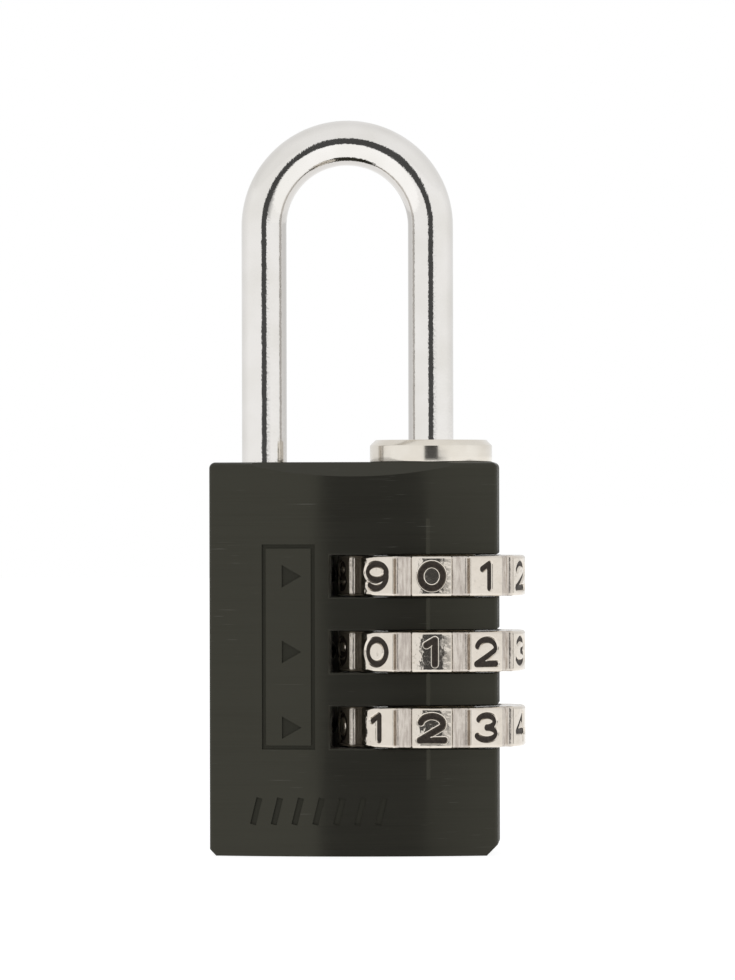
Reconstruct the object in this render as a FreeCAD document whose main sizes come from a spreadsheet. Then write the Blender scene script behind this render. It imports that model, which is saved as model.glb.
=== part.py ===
"""Three-dial combination padlock with a flanged shackle collar, as a parametric document.

Millimetres, +Z up, front face towards -Y. The origin is the middle of the base of the bounding box.
The long leg of the shackle is the axis of the whole lock: the dials, the code sleeves inside them,
the collar and the sleeve spring all stand around it. Three cross pins in that leg pass the gates in
the sleeves only when every dial is at its code, and then the shackle lifts by one dial pitch.
"""
import FreeCAD, Part
import math
import os

import Sketcher
from FreeCAD import Placement, Rotation, Vector

DOC = FreeCAD.newDocument("padlock")

# ---------------------------------------------------------------- driving dimensions

DIMENSIONS = {
    # solid aluminium case
    "case_width": 20.0,
    "case_depth": 10.6,
    "case_height": 27.3,
    "case_centre": -0.95,
    "face_radius": 33.4,
    "side_round": 0.3,
    "top_bevel": 1.0,
    "top_round": 0.42,
    "base_bevel_left": 0.45,
    "base_bevel_right": 0.75,
    # the lock's axis, and what stands on it
    "axis": 4.35,
    "bore_radius": 3.55,
    "bore_floor": 2.6,
    "dial_count": 3.0,
    "dial_pitch": 5.24,
    "dial_low": 8.92,
    "dial_radius": 6.6,
    "dial_height": 2.8,
    "dial_bevel": 0.16,
    "dial_bore": 3.15,
    "dial_faces": 10.0,
    "dial_turn": 2.1,
    "groove_radius": 0.7,
    "groove_centre": 6.88,
    "notch_radius": 0.42,
    "slot_height": 2.95,
    "slot_reach": 6.87,
    "slot_back": 2.0,
    "slot_radius": 6.72,
    "slot_bevel": 0.08,
    # code sleeves
    "sleeve_height": 5.19,
    "sleeve_radius": 3.05,
    "cavity_radius": 2.5,
    "web_low": 1.0,
    "web_bore": 1.675,
    "gate_width": 1.4,
    "tooth_radius": 0.36,
    "tooth_centre": 3.12,
    "tooth_low": -1.35,
    "tooth_high": 0.5,
    # shackle and its cross pins
    "wire": 3.15,
    "leg_spacing": 11.65,
    "arch_rise": 16.5,
    "long_leg_foot": 7.2,
    "short_leg_grip": 4.6,
    "leg_tip_round": 0.45,
    "short_bore_radius": 1.675,
    "short_bore_depth": 5.3,
    "pin_radius": 0.6,
    "pin_hole_radius": 0.61,
    "pin_rise": 0.15,
    "pin_reach": 2.3,
    "pin_tail": 1.3,
    # collar
    "flange_radius": 4.27,
    "flange_height": 1.55,
    "flange_bevel": 0.4,
    "flange_foot_bevel": 0.08,
    "shank_radius": 3.54,
    "collar_foot": 22.05,
    "collar_ceiling": 25.45,
    "collar_bore": 1.635,
    # detents: a ball and spring beside each dial; the ball is drawn pushed back, clear of the dial's faces
    "detent_bore": 0.95,
    "detent_side": -0.24,
    "detent_depth": 3.2,
    "ball_radius": 0.9,
    "ball_tip": 6.63,
    "detent_coil": 0.65,
    "detent_wire": 0.25,
    "detent_turns": 4.0,
    # sleeve spring and its washer
    "spring_coil": 2.6,
    "spring_wire": 0.5,
    "spring_turns": 4.0,
    "washer_height": 0.3,
    "washer_inner": 1.8,
    "washer_outer": 3.3,
    "gap": 0.03,
    # engraved lines on the front face
    "engraving": 0.12,
    "line_width": 0.28,
    "index_depth": 0.04,
    "index_half_width": 0.11,
    "index_low": 5.3,
    "index_high": 23.4,
    "panel_width": 3.7,
    "panel_height": 14.2,
    "panel_centre": -5.4,
    "panel_low": 7.4,
    "arrow_size": 0.9,
    "tick_width": 0.42,
    "tick_height": 1.9,
    "tick_low": 2.25,
    "tick_first": -8.1,
    "tick_step": 1.45,
}
DIAL_NAMES = ["bottom", "middle", "top"]
TICK_COUNT = 7
TICK_LEAN_DEG = 14.0
FULL_TURN_DEG = 360.0
SAME_LEVEL = 0.01
STAMP_START = "-dims.case_depth * 3 / 4"


def make_sheet():
    """The spreadsheet that every size in the document is bound to."""
    sheet = DOC.addObject("Spreadsheet::Sheet", "dims")
    for row, (alias, value) in enumerate(DIMENSIONS.items(), start=1):
        sheet.set(f"A{row}", alias)
        sheet.set(f"B{row}", str(value))
        sheet.setAlias(f"B{row}", alias)
    DOC.recompute()
    return sheet


SHEET = make_sheet()


def size(alias):
    """A driving dimension as the sheet holds it."""
    return float(SHEET.get(alias))


def bind(thing, **expressions):
    """Binds properties to expressions in the sheet's aliases; a double underscore stands for a dot."""
    for name, expression in expressions.items():
        thing.setExpression(name.replace("__", "."), expression)
    return thing


# ---------------------------------------------------------------- document helpers


def new_body(label):
    body = DOC.addObject("PartDesign::Body", label)
    body.Label = label
    return body


def origin_plane(body, role):
    return next(item for item in body.Origin.OriginFeatures if item.Role == role)


def new_sketch(body, name, role, **offset):
    """A sketch on one of the body's origin planes; offset binds AttachmentOffset.Base.x, y or z."""
    sketch = body.newObject("Sketcher::SketchObject", name)
    sketch.AttachmentSupport = [(origin_plane(body, role), "")]
    sketch.MapMode = "FlatFace"
    for axis, expression in offset.items():
        sketch.setExpression(f"AttachmentOffset.Base.{axis}", expression)
    return sketch


def pin_point(sketch, geometry, end, x, y):
    """Holds one end of a sketch line or arc at (x, y), each an expression."""
    drawn = sketch.getPoint(geometry, end)
    for kind, value, expression in (("DistanceX", drawn.x, x), ("DistanceY", drawn.y, y)):
        index = sketch.addConstraint(Sketcher.Constraint(kind, -1, 1, geometry, end, value))
        sketch.setExpression(f"Constraints[{index}]", expression)


def add_outline(sketch, corners):
    """A closed polygon whose corners are pairs of expressions."""
    first = sketch.GeometryCount
    count = len(corners)
    ring = [Vector(math.cos(math.tau * n / count), math.sin(math.tau * n / count), 0) for n in range(count)]
    for n in range(count):
        sketch.addGeometry(Part.LineSegment(ring[n], ring[(n + 1) % count]))
    for n in range(count):
        sketch.addConstraint(Sketcher.Constraint("Coincident", first + n, 2, first + (n + 1) % count, 1))
    for n, (x, y) in enumerate(corners):
        pin_point(sketch, first + n, 1, x, y)


def add_box_outline(sketch, x_low, x_high, y_low, y_high):
    add_outline(sketch, [(x_low, y_low), (x_high, y_low), (x_high, y_high), (x_low, y_high)])


def add_circle(sketch, x, y, radius):
    index = sketch.addGeometry(Part.Circle(Vector(1, 1, 0), Vector(0, 0, 1), 1.0))
    pin_point(sketch, index, 3, x, y)
    held = sketch.addConstraint(Sketcher.Constraint("Radius", index, 1.0))
    sketch.setExpression(f"Constraints[{held}]", radius)


def pad(body, name, sketch, length):
    feature = body.newObject("PartDesign::Pad", name)
    feature.Profile = sketch
    bind(feature, Length=length)
    return feature


def pocket(body, name, sketch, length=None, reverse=False):
    """A pocket of that length, or through everything on both sides of the sketch if there is none."""
    feature = body.newObject("PartDesign::Pocket", name)
    feature.Profile = sketch
    if length is None:
        feature.Type = "ThroughAll"
        feature.Midplane = True
    else:
        bind(feature, Length=length)
    feature.Reversed = reverse
    return feature


def revolve(body, name, sketch):
    """A full turn of the sketch about the body's Z axis."""
    feature = body.newObject("PartDesign::Revolution", name)
    feature.Profile = sketch
    feature.ReferenceAxis = (origin_plane(body, "Z_Axis"), [""])
    feature.Angle = FULL_TURN_DEG
    return feature


def polar_pattern(body, name, features, count):
    pattern = body.newObject("PartDesign::PolarPattern", name)
    pattern.Originals = features
    pattern.Axis = (origin_plane(body, "Z_Axis"), [""])
    pattern.Angle = FULL_TURN_DEG
    bind(pattern, Occurrences=count)
    body.Tip = pattern
    return pattern


def upward_pattern(body, name, features):
    """One copy for each dial, a dial pitch apart, going up."""
    pattern = body.newObject("PartDesign::LinearPattern", name)
    pattern.Originals = features
    pattern.Direction = (origin_plane(body, "Z_Axis"), [""])
    bind(pattern, Length="dims.dial_pitch * (dims.dial_count - 1)", Occurrences="dims.dial_count")
    body.Tip = pattern
    return pattern


def edges_of(feature, wanted):
    """The names of the feature's edges for which wanted(edge) is true."""
    DOC.recompute()
    return [f"Edge{n}" for n, edge in enumerate(feature.Shape.Edges, start=1) if wanted(edge)]


def dress(body, kind, name, base, wanted, length):
    """A Fillet or Chamfer on the edges that wanted picks."""
    feature = body.newObject(f"PartDesign::{kind}", name)
    feature.Base = (base, edges_of(base, wanted))
    bind(feature, **{"Radius" if kind == "Fillet" else "Size": length})
    body.Tip = feature
    DOC.recompute()
    return feature


def spans(edge, axis):
    """How far an edge reaches along X, Y or Z."""
    box = edge.BoundBox
    return {"x": box.XLength, "y": box.YLength, "z": box.ZLength}[axis]


def dial_level(number):
    """The height of a dial's middle as an expression."""
    return f"dims.dial_low + {number} * dims.dial_pitch"


def at_dial_turn(radius):
    """A point at that radius, dial_turn degrees round from +X, as a pair of expressions."""
    return f"{radius} * cos(dims.dial_turn * 1 deg)", f"{radius} * sin(dims.dial_turn * 1 deg)"


def stand_on_axis(thing, height):
    """Puts a part that is built about its own Z axis on the lock's axis."""
    return bind(thing, Placement__Base__x="dims.axis", Placement__Base__z=height)


# ---------------------------------------------------------------- case


def case_profile(body):
    """Section of the case: flat sides, and a front and a back that bulge on a large radius."""
    sketch = new_sketch(body, "case_profile", "XY_Plane")
    half, middle = size("case_width") / 2, size("case_centre")
    bulge, radius = size("case_depth") / 2, size("face_radius")
    corner = bulge - radius + math.sqrt(radius**2 - half**2)
    left, right = middle - half, middle + half
    places = ((left, -corner), (right, -corner), (right, corner), (left, corner))
    corners = [Vector(x, y, 0) for x, y in places]
    sketch.addGeometry(Part.Arc(corners[0], Vector(middle, -bulge, 0), corners[1]))
    sketch.addGeometry(Part.LineSegment(corners[1], corners[2]))
    sketch.addGeometry(Part.Arc(corners[2], Vector(middle, bulge, 0), corners[3]))
    sketch.addGeometry(Part.LineSegment(corners[3], corners[0]))
    sides = front, right_side, back, left_side = range(4)
    for geometry in sides:
        sketch.addConstraint(Sketcher.Constraint("Coincident", geometry, 2, (geometry + 1) % len(sides), 1))
    for side, expression in (
        (right_side, "dims.case_centre + dims.case_width / 2"),
        (left_side, "dims.case_centre - dims.case_width / 2"),
    ):
        sketch.addConstraint(Sketcher.Constraint("Vertical", side))
        index = sketch.addConstraint(Sketcher.Constraint("DistanceX", -1, 1, side, 1, 1.0))
        sketch.setExpression(f"Constraints[{index}]", expression)
    for face, expression in (
        (front, "dims.face_radius - dims.case_depth / 2"),
        (back, "dims.case_depth / 2 - dims.face_radius"),
    ):
        pin_point(sketch, face, 3, "dims.case_centre", expression)
        index = sketch.addConstraint(Sketcher.Constraint("Radius", face, radius))
        sketch.setExpression(f"Constraints[{index}]", "dims.face_radius")
    return sketch


def case_bevel_profile(body):
    """The two corners cut off along the top of the front and the back, at 45 degrees."""
    sketch = new_sketch(body, "top_bevel_profile", "YZ_Plane")
    for sign in ("", "-"):
        inner = f"{sign}(dims.case_depth / 2 - dims.top_bevel)"
        outer = f"{sign}(dims.case_depth / 2 + dims.top_bevel)"
        top, foot = "dims.case_height", "dims.case_height - 2 * dims.top_bevel"
        add_outline(sketch, [(inner, top), (outer, top), (outer, foot)])
    return sketch


def case_edges(body, block):
    """Rounds and bevels of the case's outer edges."""
    high = size("case_height")
    reach = size("case_width") / 2 - size("side_round")
    middle = size("case_centre")

    def is_end(edge, level, side):
        """True for the long edge along the depth at that height; side is -1 on the left, 1 on the right."""
        box = edge.BoundBox
        flat = abs(box.ZMin - level) < SAME_LEVEL and abs(box.ZMax - level) < SAME_LEVEL
        is_long = spans(edge, "y") > size("case_depth") / 2
        return flat and is_long and side * (box.Center.x - middle) > reach

    def is_left_foot(edge):
        return is_end(edge, 0, -1)

    def is_right_foot(edge):
        return is_end(edge, 0, 1)

    def is_upright(edge):
        return spans(edge, "z") > high / 2

    def is_top_end(edge):
        return is_end(edge, high, -1) or is_end(edge, high, 1)

    left = dress(body, "Chamfer", "base_bevel_left", block, is_left_foot, "dims.base_bevel_left")
    right = dress(body, "Chamfer", "base_bevel_right", left, is_right_foot, "dims.base_bevel_right")
    dress(body, "Fillet", "upright_rounds", right, is_upright, "dims.side_round")
    cut = pocket(body, "top_bevels", case_bevel_profile(body))
    dress(body, "Fillet", "top_rounds", cut, is_top_end, "dims.top_round")


def is_slot_mouth(edge):
    """True for the edges where a dial slot comes out through the case's outer surface."""
    middle = edge.valueAt((edge.FirstParameter + edge.LastParameter) / 2)
    across = middle.x - size("case_centre")
    face = size("case_depth") / 2 - size("face_radius") + math.sqrt(size("face_radius") ** 2 - across**2)
    at_side = across > size("case_width") / 2 - size("side_round")
    on_skin = abs(middle.y) > face - size("side_round") or at_side
    lowest = size("dial_low") - size("slot_height")
    beside_slots = lowest < middle.z < lowest + size("dial_pitch") * size("dial_count") + size("slot_height")
    height = spans(edge, "z")
    level_or_upright = height < SAME_LEVEL or abs(height - size("slot_height")) < SAME_LEVEL
    return on_skin and beside_slots and level_or_upright


def case_cavities(body):
    """The dial slots, the bore on the lock's axis, the short leg's hole and the detents' blind holes.

    A slot is square-ended as seen from the front, and follows the dial's own circle behind slot_back,
    so nothing shows through beside the dial.
    """
    low, high = "dims.dial_low - dims.slot_height / 2", "dims.dial_low + dims.slot_height / 2"
    sketch = new_sketch(body, "slot_front_profile", "XZ_Plane", z="-dims.slot_back")
    add_box_outline(sketch, "dims.axis - dims.slot_reach", "dims.axis", low, high)
    front = pocket(body, "slot_front", sketch, "dims.case_depth", reverse=True)
    sketch = new_sketch(body, "slot_round_profile", "XY_Plane", z=low)
    add_circle(sketch, "dims.axis", "0 mm", "dims.slot_radius")
    around = pocket(body, "slot_round", sketch, "dims.slot_height", reverse=True)
    slots = upward_pattern(body, "slots", [front, around])
    dress(body, "Chamfer", "slot_bevels", slots, is_slot_mouth, "dims.slot_bevel")

    sketch = new_sketch(body, "bore_profile", "XY_Plane", z="dims.case_height")
    add_circle(sketch, "dims.axis", "0 mm", "dims.bore_radius")
    pocket(body, "axis_bore", sketch, "dims.case_height - dims.bore_floor")

    sketch = new_sketch(body, "short_bore_profile", "XY_Plane", z="dims.case_height")
    add_circle(sketch, "dims.axis - dims.leg_spacing", "0 mm", "dims.short_bore_radius")
    pocket(body, "short_leg_bore", sketch, "dims.short_bore_depth")

    sketch = new_sketch(body, "detent_profile", "YZ_Plane", z="dims.axis - dims.slot_reach")
    add_circle(sketch, "dims.detent_side", "dims.dial_low", "dims.detent_bore")
    detent = pocket(body, "detent_bore", sketch, "dims.detent_depth")
    upward_pattern(body, "detent_bores", [detent])


def index_groove(body):
    """The V-shaped reading line down the front, in line with the axis; the V goes on outside the face."""
    sketch = new_sketch(body, "index_profile", "XY_Plane", z="dims.index_low")
    offset = "dims.axis - dims.case_centre"
    face = f"(dims.face_radius - dims.case_depth / 2 - sqrt(dims.face_radius ^ 2 - ({offset}) ^ 2))"
    bottom, outside = f"{face} + dims.index_depth", f"{face} - dims.index_depth"
    left, right = "dims.axis - 2 * dims.index_half_width", "dims.axis + 2 * dims.index_half_width"
    add_outline(sketch, [("dims.axis", bottom), (left, outside), (right, outside)])
    pocket(body, "index_groove", sketch, "dims.index_high - dims.index_low", reverse=True)


def plain(kind, name, **expressions):
    """A Part primitive whose sizes and place are bound to the sheet."""
    return bind(DOC.addObject(f"Part::{kind}", name), **expressions)


def boolean(kind, name, base, tool):
    feature = DOC.addObject(f"Part::{kind}", name)
    feature.Base, feature.Tool = base, tool
    return feature


def fuse(name, shapes):
    feature = DOC.addObject("Part::MultiFuse", name)
    feature.Shapes = shapes
    return feature


def stamp_box(name, x, z, width, height, lean=0.0):
    """A block that reaches through the front face, seen from the front as width by height."""
    box = plain("Box", name, Length=width, Height=height, Width="dims.case_depth / 2")
    box.Placement = Placement(Vector(), Rotation(Vector(0, 1, 0), lean))
    return bind(box, Placement__Base__x=x, Placement__Base__y=STAMP_START, Placement__Base__z=z)


def panel_frame():
    """A plain engraved rectangle beside the dials."""
    left, low = "dims.panel_centre - dims.panel_width / 2", "dims.panel_low"
    width, height = "dims.panel_width", "dims.panel_height"
    line = "dims.line_width"
    outer = stamp_box("panel_outer", left, low, width, height)
    inner = stamp_box(
        "panel_inner",
        f"{left} + {line}",
        f"{low} + {line}",
        f"{width} - 2 * {line}",
        f"{height} - 2 * {line}",
    )
    return boolean("Cut", "panel_frame", outer, inner)


def arrow(number):
    """A triangle in the panel that points at one dial."""
    name = DIAL_NAMES[number]
    prism = plain("Prism", f"arrow_{name}", Circumradius="dims.arrow_size", Height="dims.case_depth / 2")
    prism.Polygon = 3
    prism.Placement = Placement(Vector(), Rotation(Vector(1, 0, 0), -90.0))
    return bind(
        prism,
        Placement__Base__x="dims.panel_centre",
        Placement__Base__y=STAMP_START,
        Placement__Base__z=dial_level(number),
    )


def tick(number):
    """One of a row of leaning lines near the base."""
    x = f"dims.tick_first + {number} * dims.tick_step"
    name = f"tick_{number}"
    return stamp_box(name, x, "dims.tick_low", "dims.tick_width", "dims.tick_height", TICK_LEAN_DEG)


def engraving():
    """Everything engraved to one depth below the bulging front face."""
    place = {
        "Placement__Base__x": "dims.case_centre",
        "Placement__Base__y": "dims.face_radius - dims.case_depth / 2",
        "Height": "dims.case_height",
    }
    skin = boolean(
        "Cut",
        "face_skin",
        plain("Cylinder", "face_outside", Radius="dims.face_radius + dims.engraving", **place),
        plain("Cylinder", "face_inside", Radius="dims.face_radius - dims.engraving", **place),
    )
    arrows = [arrow(n) for n in range(len(DIAL_NAMES))]
    ticks = [tick(n) for n in range(TICK_COUNT)]
    return boolean("Common", "engraving", fuse("stamps", [panel_frame(), *arrows, *ticks]), skin)


def make_case():
    body = new_body("case_block")
    block = pad(body, "case_pad", case_profile(body), "dims.case_height")
    case_edges(body, block)
    case_cavities(body)
    index_groove(body)
    return boolean("Cut", "case", body, engraving())


# ---------------------------------------------------------------- dials and code sleeves


def make_dial(number):
    """A ten-faced number wheel: rounded grooves between the faces, and notches for the sleeve's teeth.

    The wheel rests turned by dial_turn, because its detent ball sits a little in front of the middle.
    """
    body = new_body(f"dial_{DIAL_NAMES[number]}")
    sketch = new_sketch(body, "dial_section", "XZ_Plane")
    half, rim, bevel = "dims.dial_height / 2", "dims.dial_radius", "dims.dial_bevel"
    add_outline(
        sketch,
        [
            ("dims.dial_bore", f"-{half}"),
            (f"{rim} - {bevel}", f"-{half}"),
            (rim, f"-{half} + {bevel}"),
            (rim, f"{half} - {bevel}"),
            (f"{rim} - {bevel}", half),
            ("dims.dial_bore", half),
        ],
    )
    revolve(body, "dial_ring", sketch)
    sketch = new_sketch(body, "groove_profile", "XY_Plane")
    add_circle(sketch, *at_dial_turn("dims.groove_centre"), "dims.groove_radius")
    groove = pocket(body, "groove", sketch)
    polar_pattern(body, "grooves", [groove], "dims.dial_faces")
    sketch = new_sketch(body, "notch_profile", "XY_Plane")
    add_circle(sketch, *at_dial_turn("dims.dial_bore"), "dims.notch_radius")
    notch = pocket(body, "notch", sketch)
    polar_pattern(body, "notches", [notch], "dims.dial_faces")
    return stand_on_axis(body, dial_level(number))


def make_sleeve(number):
    """A code sleeve: teeth outside for its dial, and a web inside whose gate lets a cross pin through."""
    body = new_body(f"code_sleeve_{DIAL_NAMES[number]}")
    low, high = "-dims.sleeve_height / 2", "dims.sleeve_height / 2"
    sketch = new_sketch(body, "sleeve_section", "XZ_Plane")
    add_outline(
        sketch,
        [
            ("dims.cavity_radius", low),
            ("dims.sleeve_radius", low),
            ("dims.sleeve_radius", high),
            ("dims.web_bore", high),
            ("dims.web_bore", "dims.web_low"),
            ("dims.cavity_radius", "dims.web_low"),
        ],
    )
    revolve(body, "sleeve_tube", sketch)
    sketch = new_sketch(body, "tooth_profile", "XY_Plane", z="dims.tooth_low")
    add_circle(sketch, *at_dial_turn("dims.tooth_centre"), "dims.tooth_radius")
    tooth = pad(body, "tooth", sketch, "dims.tooth_high - dims.tooth_low")
    polar_pattern(body, "teeth", [tooth], "dims.dial_faces")
    sketch = new_sketch(body, "gate_profile", "XY_Plane")
    add_box_outline(sketch, "-dims.gate_width / 2", "dims.gate_width / 2", "-dims.cavity_radius", "0 mm")
    pocket(body, "gate", sketch, "dims.sleeve_height", reverse=True)
    return stand_on_axis(body, dial_level(number))


# ---------------------------------------------------------------- shackle, cross pins and collar


def shackle_path(body):
    """Centre line of the shackle: the long leg on the lock's axis, a half circle, and the short leg."""
    sketch = new_sketch(body, "shackle_path", "XZ_Plane")
    long_x, short_x = size("axis"), size("axis") - size("leg_spacing")
    arch = size("case_height") + size("arch_rise")
    foot, tip = size("long_leg_foot"), size("case_height") - size("short_leg_grip")
    crown = Vector((long_x + short_x) / 2, arch + size("leg_spacing") / 2, 0)
    sketch.addGeometry(Part.LineSegment(Vector(long_x, foot, 0), Vector(long_x, arch, 0)))
    sketch.addGeometry(Part.Arc(Vector(long_x, arch, 0), crown, Vector(short_x, arch, 0)))
    sketch.addGeometry(Part.LineSegment(Vector(short_x, arch, 0), Vector(short_x, tip, 0)))
    long_leg, half_circle, short_leg = range(3)
    sketch.addConstraint(Sketcher.Constraint("Coincident", long_leg, 2, half_circle, 1))
    sketch.addConstraint(Sketcher.Constraint("Coincident", half_circle, 2, short_leg, 1))
    pin_point(sketch, long_leg, 1, "dims.axis", "dims.long_leg_foot")
    pin_point(sketch, long_leg, 2, "dims.axis", "dims.case_height + dims.arch_rise")
    pin_point(sketch, short_leg, 1, "dims.axis - dims.leg_spacing", "dims.case_height + dims.arch_rise")
    pin_point(sketch, short_leg, 2, "dims.axis - dims.leg_spacing", "dims.case_height - dims.short_leg_grip")
    index = sketch.addConstraint(Sketcher.Constraint("DistanceY", -1, 1, half_circle, 3, arch))
    sketch.setExpression(f"Constraints[{index}]", "dims.case_height + dims.arch_rise")
    return sketch


def is_leg_tip(edge):
    return spans(edge, "z") < SAME_LEVEL and edge.BoundBox.ZMax < size("case_height")


def make_shackle():
    body = new_body("shackle")
    path = shackle_path(body)
    section = new_sketch(body, "wire_section", "XY_Plane", z="dims.long_leg_foot")
    add_circle(section, "dims.axis", "0 mm", "dims.wire / 2")
    bow = body.newObject("PartDesign::AdditivePipe", "bow")
    bow.Profile = section
    bow.Spine = (path, ["Edge1", "Edge2", "Edge3"])
    dress(body, "Fillet", "tip_rounds", bow, is_leg_tip, "dims.leg_tip_round")
    sketch = new_sketch(body, "pin_holes_profile", "XZ_Plane")
    add_circle(sketch, "dims.axis", "dims.dial_low + dims.pin_rise", "dims.pin_hole_radius")
    hole = pocket(body, "pin_hole", sketch)
    upward_pattern(body, "pin_holes", [hole])
    return body


def make_cross_pin(number):
    """A hard pin pressed through the long leg; its front end is the lug that the code sleeve stops."""
    length = "dims.pin_reach + dims.pin_tail"
    pin = plain("Cylinder", f"cross_pin_{DIAL_NAMES[number]}", Radius="dims.pin_radius", Height=length)
    pin.Placement = Placement(Vector(), Rotation(Vector(1, 0, 0), 90.0))
    return bind(
        pin,
        Placement__Base__x="dims.axis",
        Placement__Base__y="dims.pin_tail",
        Placement__Base__z=f"{dial_level(number)} + dims.pin_rise",
    )


def make_collar():
    """The flanged bush that closes the bore, guides the long leg and stops the top pin at full lift."""
    body = new_body("shackle_collar")
    sketch = new_sketch(body, "collar_section", "XZ_Plane")
    top = "dims.case_height + dims.flange_height"
    add_outline(
        sketch,
        [
            ("dims.cavity_radius", "dims.collar_foot"),
            ("dims.shank_radius", "dims.collar_foot"),
            ("dims.shank_radius", "dims.case_height"),
            ("dims.flange_radius - dims.flange_foot_bevel", "dims.case_height"),
            ("dims.flange_radius", "dims.case_height + dims.flange_foot_bevel"),
            ("dims.flange_radius", f"{top} - dims.flange_bevel"),
            ("dims.flange_radius - dims.flange_bevel", top),
            ("dims.collar_bore", top),
            ("dims.collar_bore", "dims.collar_ceiling"),
            ("dims.cavity_radius", "dims.collar_ceiling"),
        ],
    )
    revolve(body, "collar_turned", sketch)
    return bind(body, Placement__Base__x="dims.axis")


# ---------------------------------------------------------------- springs, washer and detents


def make_coil(label, height, coil_radius, wire, turns):
    """A coil spring along +Z whose wire just stays inside its height."""
    run = f"({height} - {wire} - 2 * dims.gap)"
    helix = plain("Helix", f"{label}_line", Pitch=f"{run} / {turns}", Height=run, Radius=coil_radius)
    section = plain("Circle", f"{label}_section", Radius=f"{wire} / 2")
    section.Placement = Placement(Vector(), Rotation(Vector(1, 0, 0), 90.0))
    bind(section, Placement__Base__x=coil_radius)
    spring = DOC.addObject("Part::Sweep", label)
    spring.Sections = [section]
    spring.Spine = (helix, [])
    spring.Solid = True
    spring.Frenet = True
    return spring


def make_sleeve_spring():
    """Pushes the sleeves up into their dials; it gives way only while a new code is being set."""
    height = "(dims.dial_low - dims.sleeve_height / 2 - dims.washer_height - 2 * dims.gap - dims.bore_floor)"
    spring = make_coil("sleeve_spring", height, "dims.spring_coil", "dims.spring_wire", "dims.spring_turns")
    return stand_on_axis(spring, "dims.bore_floor + dims.spring_wire / 2 + dims.gap")


def make_washer():
    disc = plain("Cylinder", "washer_disc", Radius="dims.washer_outer", Height="dims.washer_height")
    hole = plain("Cylinder", "washer_hole", Radius="dims.washer_inner", Height="dims.washer_height")
    washer = boolean("Cut", "spring_washer", disc, hole)
    return stand_on_axis(washer, "dims.dial_low - dims.sleeve_height / 2 - dims.washer_height - dims.gap")


def make_ball(number):
    ball = plain("Sphere", f"detent_ball_{DIAL_NAMES[number]}", Radius="dims.ball_radius")
    return bind(
        ball,
        Placement__Base__x="dims.axis - dims.ball_tip - dims.ball_radius",
        Placement__Base__y="dims.detent_side",
        Placement__Base__z=dial_level(number),
    )


def make_detent_spring(number):
    """From the end of its blind hole to the circle where its last turn meets the ball."""
    label = f"detent_spring_{DIAL_NAMES[number]}"
    seat = "sqrt((dims.ball_radius + dims.detent_wire / 2) ^ 2 - dims.detent_coil ^ 2)"
    ball_centre = "dims.ball_tip - dims.ball_radius"
    height = f"(dims.slot_reach + dims.detent_depth - {ball_centre} - {seat} + dims.detent_wire / 2)"
    spring = make_coil(label, height, "dims.detent_coil", "dims.detent_wire", "dims.detent_turns")
    spring.Placement = Placement(Vector(), Rotation(Vector(0, 1, 0), 90.0))
    hole_end = "dims.axis - dims.slot_reach - dims.detent_depth"
    return bind(
        spring,
        Placement__Base__x=f"{hole_end} + dims.detent_wire / 2 + dims.gap",
        Placement__Base__y="dims.detent_side",
        Placement__Base__z=dial_level(number),
    )


# ---------------------------------------------------------------- the whole lock


def make_padlock():
    """Every sub-part, in the order in which the lock is put together."""
    numbers = range(len(DIAL_NAMES))
    parts = [make_case(), make_sleeve_spring(), make_washer(), make_shackle(), make_collar()]
    for make in (make_dial, make_sleeve, make_cross_pin, make_ball, make_detent_spring):
        parts += [make(number) for number in numbers]
    return parts


def check_document(parts):
    """Stops if an object failed to compute, or a sub-part isn't a valid solid."""
    for item in DOC.Objects:
        if {"Invalid", "Error"} & set(item.State):
            raise RuntimeError(f"{item.Label} failed: {item.State}")
    for part in parts:
        if part.Shape.isNull() or not part.Shape.isValid() or not part.Shape.Solids:
            raise RuntimeError(f"{part.Label} has no valid solid")


def write_parts(parts):
    os.makedirs("parts", exist_ok=True)
    for part in parts:
        part.Shape.exportStep(f"parts/{part.Label}.step")
        box = part.Shape.BoundBox
        print(
            f"{part.Label:24s} {len(part.Shape.Solids)} solid {part.Shape.Volume:9.3f} mm3",
            f"x {box.XMin:.3f} {box.XMax:.3f}",
            f"y {box.YMin:.3f} {box.YMax:.3f}",
            f"z {box.ZMin:.3f} {box.ZMax:.3f}",
            sep="  ",
        )


PARTS = make_padlock()
DOC.recompute()
check_document(PARTS)
write_parts(PARTS)
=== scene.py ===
"""Looks of a small combination padlock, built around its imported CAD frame.

Lengths are in millimetres up to the point where a mesh is made, which is where MM turns them into metres.
X is to the right of the front view, the front face looks towards -Y, and the lock stands on z = 0.
"""
import math

import bpy
import numpy as np
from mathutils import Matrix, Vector


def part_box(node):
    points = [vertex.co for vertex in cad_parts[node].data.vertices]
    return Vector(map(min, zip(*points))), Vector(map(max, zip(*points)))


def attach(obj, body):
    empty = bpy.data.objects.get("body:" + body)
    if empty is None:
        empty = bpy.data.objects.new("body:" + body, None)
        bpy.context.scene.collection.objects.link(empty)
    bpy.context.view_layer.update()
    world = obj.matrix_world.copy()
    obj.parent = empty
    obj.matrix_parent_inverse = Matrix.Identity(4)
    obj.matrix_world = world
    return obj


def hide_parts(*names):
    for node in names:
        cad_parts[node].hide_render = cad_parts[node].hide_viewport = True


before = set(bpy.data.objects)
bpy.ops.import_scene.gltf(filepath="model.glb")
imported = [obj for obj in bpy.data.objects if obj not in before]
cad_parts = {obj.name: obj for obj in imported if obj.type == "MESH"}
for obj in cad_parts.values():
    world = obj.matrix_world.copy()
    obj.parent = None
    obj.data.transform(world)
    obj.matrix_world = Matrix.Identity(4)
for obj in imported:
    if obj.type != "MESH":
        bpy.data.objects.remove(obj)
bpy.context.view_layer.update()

MM = 0.001
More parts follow.
